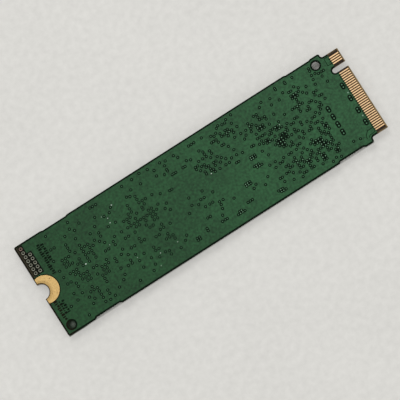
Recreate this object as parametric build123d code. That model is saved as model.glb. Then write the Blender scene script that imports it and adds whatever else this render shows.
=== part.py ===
from build123d import *

import os

# Solid-state drive card, 22 by 80 mm with an M key, lying on its packages with its bare back up.
# X runs along the card from the screw notch to the contacts, Y across it towards the key slot
# and Z up. The origin lies under the middle of the card, on the surface that it rests on.
# All lengths are millimetres.

# Board
board_length = 80.0
board_thickness = 0.8
corner_radius = 0.4
copper_thickness = 0.035
copper_pullback = 0.18
edge_keepout = 0.9

# Recesses that the break-off tabs leave in the long edges
recess_length = 6.65
recess_slope = 0.45
recess_depth_key_edge = 0.15
recess_depth_plain_edge = 0.3
recess_from_notch_end = 9.95
recess_from_contact_end = 9.4

# Contact tongue: the back row stands half a pitch off the front row and has one place less
contact_pitch = 0.5
contact_width = 0.35
contact_length = 2.2
contact_bevel_gap = 0.05
front_contact_count = 38
back_contact_count = front_contact_count - 1
key_first_index = 29
key_missing_count = 4
key_width = 1.2
key_depth = 3.5
tongue_length = 4.0
tongue_side_margin = 0.5
tongue_shoulder = 1.075
tongue_root_radius = 0.5
tongue_bevel_length = 0.25
tongue_bevel_depth = 0.2

# Screw notch, its pads, and the tooling holes
notch_radius = 1.75
screw_pad_radius = 3.05
screw_pad_offset = 1.0
tooling_hole_diameter = 1.7
tooling_hole_inset = 1.8

# Plated test points in two columns beside the notch
test_point_pitch = 1.0
test_point_column_gap = 1.1
test_point_end_inset = 1.15
test_point_edge_inset = 1.0
test_point_diameter = 0.78
test_point_bore = 0.42
test_point_wall = 0.05
test_point_pad_gap = 0.4
test_point_ring_sides = 12
test_point_barrel_sides = 6

# Packages on solder balls
component_height = 1.2
ball_height = 0.2
ball_diameter = 0.42
ball_edge = 0.6
dimple_diameter = 0.6
dimple_depth = 0.06
dimple_inset = 0.8
flash_count = 2
flash_length = 14.0
flash_width = 18.0
flash_gap = 1.35
flash_pad_gap = 0.25
flash_ball_pitch = 1.0
memory_length = 10.0
memory_width = 14.5
memory_thickness = 0.75
memory_ball_pitch = 0.8
controller_size = 15.0
controller_substrate = 0.36
controller_cap_margin = 0.9
controller_cap_radius = 0.6
controller_cap_draft = 15.0
controller_ball_pitch = 0.8

# Power chip with leads flush in its sides
power_chip_size = 4.0
power_chip_height = 0.85
lead_pitch = 0.65
lead_width = 0.3
lead_length = 0.4
lead_thickness = 0.2
lead_corner_gap = 0.4

# Small parts: length, width, height and the run of each plated end, which stands proud of the body
plating = 0.03
decoupling_length = 1.0
decoupling_width = 0.5
decoupling_height = 0.5
decoupling_end = 0.25
decoupling_pitch = 2.8
decoupling_row_margin = 1.5
bulk_length = 2.0
bulk_width = 1.25
bulk_height = 0.85
bulk_end = 0.45
bulk_pitch = 2.6
coupling_length = 0.6
coupling_width = 0.3
coupling_height = 0.3
coupling_end = 0.15
resistor_length = 1.0
resistor_width = 0.5
resistor_height = 0.35
resistor_end = 0.2
resistor_pitch = 1.2
fuse_length = 1.6
fuse_width = 0.8
fuse_height = 0.6
fuse_end = 0.35
inductor_length = 2.5
inductor_width = 2.0
inductor_height = 1.0
inductor_end = 0.5
inductor_pitch = 4.2
crystal_length = 2.0
crystal_width = 1.6
crystal_base_height = 0.3
crystal_lid_height = 0.25
crystal_lid_margin = 0.12
crystal_corner = 0.2

# Signal lanes: four pairs of coupling capacitors
lane_count = 4
lane_pitch = 1.88
lane_pair_gap = 0.6
lane_centre = -2.9

# Room between neighbours on the component side
package_gap = 0.4
part_gap = 0.8
strip_margin = 0.95

# Worked-out sizes of the board
tongue_width = (front_contact_count - 1) * contact_pitch + contact_width + 2 * tongue_side_margin
board_width = tongue_width + 2 * tongue_shoulder
key_edge = board_width / 2
plain_edge = -board_width / 2
notch_end = -board_length / 2
contact_end = board_length / 2
shoulder = contact_end - tongue_length
board_bottom = component_height
board_top = board_bottom + board_thickness
key_middle_index = key_first_index + (key_missing_count - 1) / 2
key_y = contact_pitch * (key_middle_index - (front_contact_count + back_contact_count - 2) / 4)
contact_x = contact_end - tongue_bevel_length - contact_bevel_gap - contact_length / 2
test_point_barrel = test_point_bore + 2 * test_point_wall

# Worked-out places of the parts, from the contact end to the notch end
connector_strip = power_chip_size + 2 * strip_margin
strip_x = shoulder - connector_strip / 2
tooling_places = [
    (notch_end + tooling_hole_inset, plain_edge + tooling_hole_inset),
    (shoulder - tooling_hole_inset, key_edge - tooling_hole_inset),
]
power_chip_y = tooling_places[1][1] - tooling_hole_diameter / 2 - part_gap - power_chip_size / 2
resistor_y = power_chip_y - power_chip_size / 2 - part_gap - resistor_length / 2
fuse_y = plain_edge + edge_keepout + fuse_width / 2
strip_bulk_y = fuse_y + fuse_width / 2 + part_gap + bulk_width / 2
inductor_y = key_edge - edge_keepout - inductor_width / 2
controller_x = shoulder - connector_strip - controller_size / 2
controller_y = (inductor_y - inductor_width / 2 + plain_edge) / 2
memory_strip = 2 * (package_gap + decoupling_width) + part_gap
memory_strip_x = controller_x - controller_size / 2 - memory_strip / 2
memory_x = memory_strip_x - memory_strip / 2 - memory_length / 2
memory_bulk_y = memory_width / 2 + part_gap + bulk_width / 2
flash_start = notch_end + screw_pad_offset + screw_pad_radius + flash_pad_gap
flash_xs = [flash_start + flash_length / 2 + i * (flash_length + flash_gap) for i in range(flash_count)]
flash_row_y = flash_width / 2 + package_gap + decoupling_width / 2

SEAT = (Align.CENTER, Align.CENTER, Align.MIN)


def spread(count, pitch):
    """Evenly spaced places about zero."""
    return [(i - (count - 1) / 2) * pitch for i in range(count)]


def group(shapes):
    """Separate solids that share one node."""
    return Compound([solid for shape in shapes for solid in shape.solids()])


def under_board(x, y, shape):
    """A part drawn upright on its seat, turned over onto the component side of the board."""
    return Pos(x, y, board_bottom) * Rot(180, 0, 0) * shape


def break_off_recess(x, side, depth):
    """Sloped-end recess in the long edge on one side of the board."""
    edge = side * board_width / 2
    floor = edge - side * depth
    half = recess_length / 2
    return Polygon(
        (x - half, edge),
        (x - half + recess_slope, floor),
        (x + half - recess_slope, floor),
        (x + half, edge),
    )


def key_slot():
    """Slot with a round inner end that splits the tongue."""
    straight = key_depth - key_width / 2
    slot = Rectangle(straight, key_width, align=(Align.MAX, Align.CENTER))
    slot += Pos(-straight, 0) * Circle(key_width / 2)
    return Pos(contact_end, key_y) * slot


def test_point_round(diameter):
    """Section of a test point's barrel or bore, with few sides."""
    return RegularPolygon(diameter / 2, test_point_barrel_sides)


def test_point_places():
    """Two columns that start near the key edge and end together above the screw pad."""
    first_y = key_edge - test_point_edge_inset
    room = first_y - screw_pad_radius - test_point_diameter / 2 - test_point_pad_gap
    count = int(room // test_point_pitch) + 1
    x = notch_end + test_point_end_inset
    outer = [(x, first_y - i * test_point_pitch) for i in range(count)]
    inner = [(x + test_point_column_gap, y) for _, y in outer[2:]]
    return outer + inner


def board_outline():
    """Board seen from above, with its tongue, notch, slot, recesses and holes."""
    body = Pos(notch_end, 0) * Rectangle(
        board_length - tongue_length, board_width, align=(Align.MIN, Align.CENTER))
    tongue = Pos(shoulder, 0) * Rectangle(
        tongue_length, tongue_width, align=(Align.MIN, Align.CENTER))
    outline = body + tongue
    outer = (board_width + tongue_width) / 4
    corners = outline.vertices().filter_by(lambda v: abs(v.Y) > outer)
    outline = fillet(corners, min(corner_radius, 0.4 * tongue_shoulder))
    middle = shoulder + tongue_length / 2
    roots = outline.vertices().filter_by(lambda v: shoulder - corner_radius / 2 < v.X < middle)
    roots = roots.filter_by(lambda v: abs(v.Y) < tongue_width / 2 + tongue_shoulder / 4)
    outline = fillet(roots, min(tongue_root_radius, 0.5 * tongue_shoulder))
    outline -= Pos(notch_end, 0) * Circle(notch_radius)
    outline -= key_slot()
    for x in (notch_end + recess_from_notch_end, contact_end - recess_from_contact_end):
        outline -= break_off_recess(x, 1, recess_depth_key_edge)
        outline -= break_off_recess(x, -1, recess_depth_plain_edge)
    outline -= [Pos(x, y) * Circle(tooling_hole_diameter / 2) for x, y in tooling_places]
    outline -= [Pos(x, y) * test_point_round(test_point_barrel) for x, y in test_point_places()]
    return outline


def circuit_board():
    """Board plate, bevelled on both faces at the tongue's end."""
    plate = extrude(board_outline(), board_thickness)
    bevel_start = contact_end - tongue_bevel_length
    section = Polygon(
        (notch_end, 0),
        (bevel_start, 0),
        (contact_end, tongue_bevel_depth),
        (contact_end, board_thickness - tongue_bevel_depth),
        (bevel_start, board_thickness),
        (notch_end, board_thickness),
    )
    plate &= extrude(Plane.XZ * section, board_width, both=True)
    return Pos(0, 0, board_bottom) * plate


def contact_row(places, z):
    """One face's row of contacts, with the key's places left out."""
    missing = range(key_first_index, key_first_index + key_missing_count)
    contact = Box(contact_length, contact_width, copper_thickness, align=SEAT)
    ys = spread(places, contact_pitch)
    return group([Pos(contact_x, y, z) * contact for i, y in enumerate(ys) if i not in missing])


def screw_pad(z):
    """Crescent of bare copper round the notch, kept back from the routed edges."""
    pad = Pos(notch_end + screw_pad_offset, 0) * Circle(screw_pad_radius)
    pad -= Pos(notch_end, 0) * Circle(notch_radius + copper_pullback)
    pad -= Pos(notch_end + copper_pullback, 0) * Rectangle(
        2 * screw_pad_radius, 2 * screw_pad_radius, align=(Align.MAX, Align.CENTER))
    return Pos(0, 0, z) * extrude(pad, copper_thickness)


def test_point_eyelets():
    """Plated barrels through the board, with a ring of copper on each face."""
    low = board_bottom - copper_thickness
    ring = extrude(RegularPolygon(test_point_diameter / 2, test_point_ring_sides), copper_thickness)
    barrel = extrude(test_point_round(test_point_barrel), board_thickness)
    bore = extrude(test_point_round(test_point_bore), board_thickness + 2 * copper_thickness)
    eyelet = Pos(0, 0, low) * ring + Pos(0, 0, board_bottom) * barrel + Pos(0, 0, board_top) * ring
    eyelet -= Pos(0, 0, low) * bore
    return group([Pos(x, y) * eyelet for x, y in test_point_places()])


def orientation_dimple(length, width, height):
    """Shallow round mark near one corner of a package's outer face."""
    place = Pos(dimple_inset - length / 2, dimple_inset - width / 2, height)
    return place * Cylinder(
        dimple_diameter / 2, dimple_depth, align=(Align.CENTER, Align.CENTER, Align.MAX))


def moulded_package(length, width, thickness):
    """Sawn package on its balls: one block of moulding on its substrate."""
    return Pos(0, 0, ball_height) * Box(length, width, thickness, align=SEAT)


def capped_package():
    """Controller on its balls: a square substrate under a moulded cap with sloping sides."""
    substrate = extrude(Rectangle(controller_size, controller_size), controller_substrate)
    side = controller_size - 2 * controller_cap_margin
    cap_height = component_height - ball_height - controller_substrate
    cap = extrude(
        RectangleRounded(side, side, controller_cap_radius), cap_height, taper=controller_cap_draft)
    package = substrate + Pos(0, 0, controller_substrate) * cap
    package = Pos(0, 0, ball_height) * package
    return package - orientation_dimple(side, side, component_height)


def outer_balls(length, width, pitch):
    """Outer row of solder balls under a package, as short six-sided posts."""
    columns = spread(int((length - 2 * ball_edge) // pitch) + 1, pitch)
    rows = spread(int((width - 2 * ball_edge) // pitch) + 1, pitch)
    ball = extrude(RegularPolygon(ball_diameter / 2, 6), ball_height)
    ends_x = (columns[0], columns[-1])
    ends_y = (rows[0], rows[-1])
    places = [(x, y) for x in columns for y in rows if x in ends_x or y in ends_y]
    return group([Pos(x, y) * ball for x, y in places])


def two_terminal_part(length, width, height, end):
    """Body of a chip part, held clear of the board by its two plated ends."""
    core = Box(length - 2 * end, width - 2 * plating, height - 2 * plating, align=SEAT)
    cap = Box(end, width, height, align=SEAT)
    reach = (length - end) / 2
    return Pos(0, 0, plating) * core, [Pos(x, 0, 0) * cap for x in (-reach, reach)]


def chip_group(places, length, width, height, end):
    """Like chip parts at places of x, y and turn: their bodies, and their plated ends."""
    body, ends = two_terminal_part(length, width, height, end)
    turned = [(x, y, Rot(0, 0, turn)) for x, y, turn in places]
    bodies = [under_board(x, y, turn * body) for x, y, turn in turned]
    terminals = [under_board(x, y, turn * cap) for x, y, turn in turned for cap in ends]
    return group(bodies), group(terminals)


def power_chip():
    """Flat no-lead chip and the leads that lie flush in its sides and underside."""
    block = Box(power_chip_size, power_chip_size, power_chip_height, align=SEAT)
    count = int((power_chip_size - 2 * (lead_corner_gap + lead_width)) // lead_pitch) + 1
    lead = Pos((power_chip_size - lead_length) / 2, 0, 0) * Box(
        lead_length, lead_width, lead_thickness, align=SEAT)
    leads = [
        Rot(0, 0, quarter) * Pos(0, y, 0) * lead
        for quarter in (0, 90, 180, 270)
        for y in spread(count, lead_pitch)
    ]
    block -= orientation_dimple(power_chip_size, power_chip_size, power_chip_height)
    body = block - leads
    placed = [under_board(strip_x, power_chip_y, lead) for lead in leads]
    return under_board(strip_x, power_chip_y, body), group(placed)


def crystal():
    """Ceramic tray of the clock crystal and its seam-welded metal lid."""
    base = extrude(RectangleRounded(crystal_length, crystal_width, crystal_corner), crystal_base_height)
    lid = extrude(
        RectangleRounded(
            crystal_length - 2 * crystal_lid_margin,
            crystal_width - 2 * crystal_lid_margin,
            crystal_corner,
        ),
        crystal_lid_height,
    )
    lid = Pos(0, 0, crystal_base_height) * lid
    return [under_board(memory_strip_x, inductor_y, piece) for piece in (base, lid)]


def row_along(side):
    """Places of a row of decoupling capacitors along one side of a package."""
    count = int((side - 2 * decoupling_row_margin) // decoupling_pitch) + 1
    return spread(count, decoupling_pitch)


def decoupling_places():
    """A row along each flash package, and two columns between memory and controller."""
    reach = memory_strip / 2 - package_gap - decoupling_width / 2
    places = [(x + along, flash_row_y, 0) for x in flash_xs for along in row_along(flash_length)]
    places += [(memory_strip_x - reach, along, 90) for along in row_along(memory_width)]
    places += [
        (memory_strip_x + reach, controller_y + along, 90) for along in row_along(controller_size)]
    return places


def bulk_places():
    """Large capacitors past both ends of the memory, and one by the fuse."""
    places = [(memory_x + x, -memory_bulk_y, 0) for x in spread(3, bulk_pitch)]
    places += [(memory_x + x, memory_bulk_y, 0) for x in spread(2, bulk_pitch)]
    return places + [(strip_x, strip_bulk_y, 0)]


def coupling_places():
    """One pair of coupling capacitors for each signal lane."""
    return [
        (strip_x, lane_centre + lane + half, 0)
        for lane in spread(lane_count, lane_pitch)
        for half in spread(2, lane_pair_gap)
    ]


def packages():
    """Every package on solder balls, with the outer row of balls under each."""
    flash_thickness = component_height - ball_height
    parts = {}
    for number, x in enumerate(flash_xs, 1):
        parts[f"flash_package_{number}"] = under_board(
            x, 0, moulded_package(flash_length, flash_width, flash_thickness))
        parts[f"flash_solder_balls_{number}"] = under_board(
            x, 0, outer_balls(flash_length, flash_width, flash_ball_pitch))
    parts["memory_package"] = under_board(
        memory_x, 0, moulded_package(memory_length, memory_width, memory_thickness))
    parts["memory_solder_balls"] = under_board(
        memory_x, 0, outer_balls(memory_length, memory_width, memory_ball_pitch))
    parts["controller_package"] = under_board(controller_x, controller_y, capped_package())
    parts["controller_solder_balls"] = under_board(
        controller_x, controller_y, outer_balls(controller_size, controller_size, controller_ball_pitch))
    return parts


def small_parts():
    """Every part with soldered ends or leads, as bodies and terminals."""
    parts = {}
    parts["power_chip"], parts["power_chip_leads"] = power_chip()
    parts["crystal_base"], parts["crystal_lid"] = crystal()
    parts["power_inductors"], parts["inductor_terminals"] = chip_group(
        [(controller_x + x, inductor_y, 0) for x in spread(3, inductor_pitch)],
        inductor_length, inductor_width, inductor_height, inductor_end)
    parts["coupling_capacitors"], parts["coupling_capacitor_terminals"] = chip_group(
        coupling_places(), coupling_length, coupling_width, coupling_height, coupling_end)
    parts["bulk_capacitors"], parts["bulk_capacitor_terminals"] = chip_group(
        bulk_places(), bulk_length, bulk_width, bulk_height, bulk_end)
    parts["decoupling_capacitors"], parts["decoupling_capacitor_terminals"] = chip_group(
        decoupling_places(), decoupling_length, decoupling_width, decoupling_height, decoupling_end)
    parts["chip_resistors"], parts["resistor_terminals"] = chip_group(
        [(strip_x + x, resistor_y, 90) for x in spread(4, resistor_pitch)],
        resistor_length, resistor_width, resistor_height, resistor_end)
    parts["input_fuse"], parts["fuse_terminals"] = chip_group(
        [(strip_x, fuse_y, 0)], fuse_length, fuse_width, fuse_height, fuse_end)
    return parts


def build():
    """Every node of the card, by name."""
    parts = {
        "circuit_board": circuit_board(),
        "contact_fingers_back": contact_row(back_contact_count, board_top),
        "contact_fingers_front": contact_row(front_contact_count, board_bottom - copper_thickness),
        "screw_pad_back": screw_pad(board_top),
        "screw_pad_front": screw_pad(board_bottom - copper_thickness),
        "test_point_eyelets": test_point_eyelets(),
    }
    parts.update(packages())
    parts.update(small_parts())
    return parts


os.makedirs("parts", exist_ok=True)
for name, shape in build().items():
    export_step(shape, f"parts/{name}.step")
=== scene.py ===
"""Looks of a solid-state drive card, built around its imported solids.

X runs along the card from the screw notch to the contacts, Y across it towards the key slot and
Z up out of the bare back face. The card lies on its packages, as it does on a table.
"""

import math

import bmesh
import bpy
from mathutils import Matrix, Vector


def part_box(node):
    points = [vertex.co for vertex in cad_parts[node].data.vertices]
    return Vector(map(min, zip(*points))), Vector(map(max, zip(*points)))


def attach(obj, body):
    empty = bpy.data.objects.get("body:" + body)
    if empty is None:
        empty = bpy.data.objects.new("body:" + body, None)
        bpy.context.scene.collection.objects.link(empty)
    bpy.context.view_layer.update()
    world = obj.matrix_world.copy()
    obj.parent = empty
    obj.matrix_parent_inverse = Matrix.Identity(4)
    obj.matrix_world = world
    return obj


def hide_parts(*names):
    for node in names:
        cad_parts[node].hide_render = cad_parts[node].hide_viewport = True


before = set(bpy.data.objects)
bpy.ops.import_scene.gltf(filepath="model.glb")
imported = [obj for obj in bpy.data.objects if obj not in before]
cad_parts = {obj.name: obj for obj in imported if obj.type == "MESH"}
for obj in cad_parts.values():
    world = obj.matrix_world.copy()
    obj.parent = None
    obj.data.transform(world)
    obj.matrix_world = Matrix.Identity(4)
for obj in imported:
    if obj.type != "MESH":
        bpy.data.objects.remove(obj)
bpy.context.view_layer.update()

bl_info = {
    "name": "Solid-state drive card",
    "version": (1, 0, 0),
    "blender": (4, 5, 0),
    "location": "View3D > Sidebar > Drive card",
    "description": "Finishes, vias and solder of a bare drive card, and the table that it lies on",
    "category": "Object",
}

MM = 0.001
BODY = "root"
TONGUE_MARGIN = 0.5 * MM
BOARD_LOW, BOARD_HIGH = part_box("circuit_board")
BACK = BOARD_HIGH.z
FRONT = BOARD_LOW.z
NOTCH_END = BOARD_LOW.x
CONTACT_END = BOARD_HIGH.x
CONTACT_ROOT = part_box("contact_fingers_back")[0].x
TONGUE_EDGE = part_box("contact_fingers_front")[1].y + TONGUE_MARGIN
NOTCH = Vector((NOTCH_END, 0.0, (BACK + FRONT) / 2))
HALF_BOARD = (BACK - FRONT) / 2
SHOULDER = CONTACT_END - 4.0 * MM

# Where light falls on the table through the tooling hole beside the notch, and how far it spreads
LIT_SPOT = (NOTCH_END + 2.02 * MM, -9.09 * MM, 0.0)
LIT_REACH = 0.75 * MM

# Where a finish begins and where it is full: along X, along Y, off the board's middle plane, and
# from the middle of the notch
THIN_MASK = (NOTCH_END + 1.2 * MM, NOTCH_END + 2.6 * MM)
END_GROUND = (NOTCH_END + 0.5 * MM, NOTCH_END + 0.85 * MM)
END_SHADE = (NOTCH_END + 6.0 * MM, NOTCH_END + 4.0 * MM)
MASK_END = (CONTACT_ROOT - 0.03 * MM, CONTACT_ROOT)
TONGUE_SIDE = (TONGUE_EDGE - 0.42 * MM, TONGUE_EDGE + 0.3 * MM)
STAIN_EDGE = (9.4 * MM, 9.6 * MM)
DEEP_SIDE = (-2.0 * MM, 2.0 * MM)
CUT_EDGE = (HALF_BOARD - 0.01 * MM, HALF_BOARD - 0.03 * MM)
NOTCH_WALL = (2.1 * MM, 1.95 * MM)
NOTCH_STRIP = (2.2 * MM, 2.1 * MM)
# The screw pad's rim along the notch is worn to copper and darkened as painted shade
NOTCH_WEAR_AND_SHADE = (2.95 * MM, 2.55 * MM)
NOTCH_TABLE = (2.0 * MM, 1.6 * MM)

# Soft edges of finishes, and how unevenly the plating is worn
SEAM = 0.01 * MM
GLAZE_EDGE = 0.02 * MM
SHADE_EDGE = 0.1 * MM
WEAR_SPREAD = 0.6 * MM

# Shares of half a contact's width where the painted shade on its flanks begins and is full
FLANK_SHADE = (0.45, 0.8)

# Shares of the gold's red, green and blue that are left where it is rubbed, in pin holes, under the
# painted shade on the flanks, and where it is worn and in painted shade along the notch
RUBBED_GOLD = (0.9, 0.88, 0.84)
PITTED_GOLD = (0.4, 0.3, 0.22)
FLANK_SHADE_GOLD = (0.16, 0.1, 0.06)
WORN_AND_SHADED_GOLD = (0.72, 0.7, 0.66)

# How far below the board a part's solid reaches where it covers a via
COVER_DEPTH = 0.1 * MM

# Distances within which points are one, and angles past which an edge is sharp or gets rounded
MERGE = 1e-6
FINE_MERGE = 1e-8
SHARP_ANGLE = math.radians(35)
BEVEL_ANGLE = math.radians(40)

# Depths and roundings of the small parts
EYELET_LIP = 0.012 * MM
PAD_ROUND = 0.015 * MM
CONTACT_ROUND = 0.008 * MM
SAWN_SUBSTRATE = 0.2 * MM
CAPPED_SUBSTRATE = 0.35 * MM
RESISTOR_GLAZE = 0.06 * MM
FUSE_GLAZE = 0.08 * MM

# Fewest rings that a crowded via's ring meets, and the number of pitches past which a gap is the key
CROWD = 3
KEY_GAP = 1.5

# Numbers of sides of round trim
DISC_SIDES = 10
RING_SIDES = 10
BALL_SIDES = 10
SMALL_DOT_SIDES = 8
LANE_PAD_SIDES = 12
WINDOW_SIDES = 20
EYELET_SIDES = 24
PAD_SIDES = 72

# Shares of other sizes: the tops of sloped trim, the hole in a ring, the heights of low trim, the steps
# that keep crossing rings apart, and the rounding of chips
DISC_TOP = 0.72
RING_TOP = 0.94
RING_HOLE = 0.9
WINDOW_TOP = 0.94
SPOT_RISE = 0.9
GAP_RISE = 0.8
GROUND_RISE = 0.5
RING_STEP = 0.05
RING_LEVELS = 7
CHIP_ROUND = 0.7

# Solder balls as shares of their radius and height, fillets as shares of their run and height
BALL_SECTION = ((0.0, 0.0), (0.74, 0.0), (0.98, 0.3), (0.98, 0.7), (0.74, 1.0), (0.0, 1.0))
FILLET_SECTION = ((-0.15, 0.0), (1.0, 0.0), (0.56, 0.2), (0.24, 0.54), (0.06, 1.0), (-0.15, 1.0))

# Run and height of a fillet as shares of the plated end's height, and its share of the end's width
FILLET_RUN = 0.45
FILLET_HEIGHT = 0.75
FILLET_WIDTH = 0.94

# Table and lamp, in metres
TABLE_REACH = 3.0
TABLE_DROP = 0.02 * MM
LAMP_SIZE = 0.6
LAMP_PLACE = Vector((0.06, 0.6, 0.9))

# Finishes that are the same all over: their colour, scale and unevenness of the grain, lowest and
# highest roughness, depth of the relief in metres, and share of metal
PLAIN_FINISHES = {
    "Tin plating": ("tin", 9000.0, 0.25, (0.42, 0.58), 1.5e-6, 0.6),
    "Solder": ("solder", 7000.0, 0.2, (0.28, 0.44), 1e-6, 0.7),
    "Capacitor ceramic": ("ceramic", 8000.0, 0.3, (0.42, 0.6), 2e-6, 0.0),
    "Dark ceramic": ("dark_ceramic", 8000.0, 0.3, (0.4, 0.55), 2e-6, 0.0),
    "Inductor core": ("core", 9000.0, 0.8, (0.5, 0.75), 8e-6, 0.0),
    "Crystal lid": ("lid", 12000.0, 0.25, (0.28, 0.42), 1e-6, 1.0),
    "Pale fleck": ("fleck", 9000.0, 0.4, (0.5, 0.7), 1e-6, 0.0),
}

# Via fields, in millimetres: where row 0 and column 0 cross, the pitch, and the columns of each row
FIELDS = (
    ((-34.35, 0.035), 0.8, {
        10: (8, 11), 9: (6, 9), 8: (1, 2), 7: (5, 8, 14), 6: (5, 12), 5: (0, 5, 8, 14, 17),
        4: (2, 3, 4, 6, 8, 9, 10, 12, 14), 3: (2, 3, 8, 10, 11, 13),
        2: (0, 2, 3, 4, 6, 8, 9, 10, 14, 17), 1: (5, 6, 8, 10, 16),
        0: (0, 2, 3, 4, 6, 8, 10, 13, 14, 16), -1: (3, 4), -2: (0, 1, 4, 5, 6, 8, 9, 12, 17),
        -3: (2, 4, 5, 6, 10, 11, 12, 14, 16), -4: (2, 5, 6, 8, 10, 11, 14), -5: (0, 9, 10, 11),
        -6: (2, 5, 9, 14), -7: (0, 4, 5, 6, 9), -8: (3, 6, 14), -9: (4, 6, 8, 13),
        -10: (3, 6, 8, 11),
    }),
    ((-19.0, 0.035), 0.8, {
        10: (8, 11), 9: (1, 6), 8: (0, 8), 7: (5, 8), 6: (5, 8, 9, 10, 12), 5: (0, 4, 5, 9, 14),
        4: (2, 3, 4, 6, 8), 3: (3, 5, 9, 10, 12), 2: (0, 2, 3, 4, 5, 6, 7, 8, 9, 10, 11, 14),
        1: (4, 5, 7, 9, 10, 13), 0: (0, 1, 3, 9, 10, 14), -1: (7, 8), -2: (3, 10),
        -3: (0, 1, 3, 4, 9, 10, 12), -4: (7, 8), -5: (0, 10), -6: (2, 5, 9, 10, 11),
        -7: (0, 5, 6, 11), -8: (3, 14), -9: (0, 5, 8, 13), -10: (3, 8, 11),
    }),
    ((15.59, -1.035), 0.632, {
        12: (0, 4, 17, 18, 19, 20, 23), 11: (0, 1, 4, 5, 6, 17, 18, 19, 21, 26),
        10: (0, 2, 6, 9, 18, 22), 9: (2, 3, 4, 18, 24, 25),
        8: (2, 3, 4, 6, 12, 15, 16, 17, 18, 19, 24), 7: (9, 17, 21, 22, 25, 26),
        6: (0, 1, 2, 3, 5, 6, 7, 8, 17, 20, 23), 5: (4, 5, 7, 8, 9, 11, 14, 15, 19, 20, 24),
        4: (2, 3, 10, 12, 13, 23, 24), 3: (2, 3, 4, 7, 8, 9, 10, 15, 21, 23),
        2: (5, 6, 7, 9, 12, 15, 17, 19, 20, 22), 1: (4, 5, 6, 7, 8, 9, 12, 13, 18),
        0: (5, 6, 7, 14, 17, 19, 20, 22), -1: (6, 7, 9, 12, 14, 16, 17, 21),
        -2: (8, 9, 13, 19, 21, 22), -3: (10, 11, 19, 21, 22),
        -4: (4, 6, 7, 9, 15, 19, 20, 22), -5: (2, 3, 14, 15, 16, 17, 18, 20, 21),
        -6: (7, 10, 12, 15, 16, 17, 18, 21), -7: (3, 4, 6, 7, 9, 13, 17, 18, 19, 21),
        -8: (4, 5, 7, 8, 9, 12, 13, 15, 16, 17, 18, 19, 20, 21),
        -9: (2, 3, 7, 9, 10, 11, 12, 14, 15, 18, 20),
        -10: (4, 7, 8, 10, 11, 13, 15, 16, 18, 19, 21, 22), -11: (0, 6, 10, 13, 15, 16, 20, 21),
        -12: (3, 7, 8, 10, 11, 15, 16, 20, 21),
    }),
)

# Column and row of the spots in the crowded field that have no via and no copper
SHUT_IN = ((8, 2),)

# Vias off the fields, in millimetres: the Y of a row, and the X of each via in it
LOOSE_VIAS = (
    (10.1, (13.55,)), (10.05, (-9.3,)), (9.8, (-11.3, -7.4, 12.15, 24.35, 26.75)),
    (9.75, (28.65,)), (9.7, (-13.85,)), (9.6, (-4.45, 10.05)),
    (9.45, (-33.0, -27.5, -21.9, -21.3, -20.5, 24.35, 26.75, 32.55)),
    (9.3, (-3.25, -1.2, 2.6, 3.25, 3.9, 5.75, 9.5, 10.9, 11.6)),
    (8.85, (-6.3, 20.35, 32.5)), (8.5, (-3.9, -0.6, 7.65, 8.85, 12.75, 22.35)),
    (8.1, (8.2, 19.5, 25.3)), (7.9, (9.55, 10.8, 11.35, 27.9, 32.35, 33.2)), (7.6, (-6.45, -3.95)),
    (7.45, (26.4, 26.9, 33.8, 34.45, 35.05)),
    (7.25, (-22.1, -3.95, 3.85, 7.0, 7.5, 8.15, 9.55, 10.15, 10.8, 11.4, 12.05, 13.35)),
    (7.2, (17.4, 18.1, 21.9, 23.85, 28.6)), (6.95, (-13.5, -4.9, 0.55, 32.15)),
    (6.6, (1.4, 4.45, 8.3, 10.8, 12.1, 34.15)), (6.35, (-20.35,)),
    (6.05, (-3.55, -3.15, -2.65, -0.85, -0.35, 4.45, 5.75)),
    (5.6, (8.55, 9.05, 11.75, 13.25, 14.5)), (5.4, (2.65, 3.65, 4.55, 5.85)), (5.05, (34.55,)),
    (4.7, (1.35, 1.95, 5.2, 9.6, 14.0, 15.3)), (4.15, (1.35, 2.6, 3.25, 6.45, 13.3)),
    (3.7, (-12.6, 15.9)), (3.5, (-5.8, -5.25, 1.95, 3.3, 3.9, 5.15, 5.75, 7.1, 10.2)),
    (2.8, (2.6, 3.9, 5.15, 6.45, 7.75)), (2.3, (2.6, 3.9, 4.4, 8.85, 10.1, 32.15)),
    (2.0, (11.4, 13.65, 14.2)), (1.9, (16.1,)), (1.7, (4.45, 5.6, 7.1, 7.95)),
    (1.55, (15.35,)), (1.2, (16.15, 19.0)), (0.85, (9.2, 9.75)),
    (0.2, (12.2, 12.7, 13.25)), (0.0, (-13.8, -3.25, 15.05)), (-0.25, (-0.1, 12.2, 12.7, 13.25)),
    (-0.4, (22.15,)), (-1.35, (15.7,)), (-1.65, (-3.5, -1.3, -0.45, 1.7)),
    (-1.85, (11.9, 12.4, 12.95)), (-2.3, (-2.25, 12.4, 12.95, 13.5)),
    (-2.85, (-4.85,)), (-3.2, (-20.35,)), (-3.35, (14.8, 16.15)), (-3.45, (-1.25, -0.2, 0.55)),
    (-4.0, (8.35, 8.85, 9.4)), (-4.15, (1.75, 2.65, 22.75)),
    (-4.45, (-20.55, 8.35, 8.85, 9.4, 15.65)), (-4.85, (1.75,)),
    (-5.15, (-21.55, -20.55, 4.75, 10.2, 13.15)), (-5.7, (-2.15, -1.5, 1.55, 9.4)),
    (-5.95, (-36.25,)), (-6.35, (11.85,)), (-6.9, (-13.4, 0.8, 15.15, 15.65)),
    (-7.5, (-3.45, 6.75, 7.3, 7.85)), (-8.0, (-3.5, 0.1, 0.75, 1.25)),
    (-8.15, (-6.3, -5.75, 4.2, 4.7)), (-8.6, (-6.3, -5.75, 3.65, 4.2, 4.75, 5.3, 32.3)),
    (-8.95, (-29.55, -27.2, -17.55, 13.45, 13.95, 14.45, 33.8)),
    (-9.15, (-28.45, -21.05, 19.4, 24.35)), (-9.4, (13.9, 14.45, 15.0)),
    (-9.5, (-34.0, 27.45)), (-9.9, (26.45, 28.45)),
)

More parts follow.
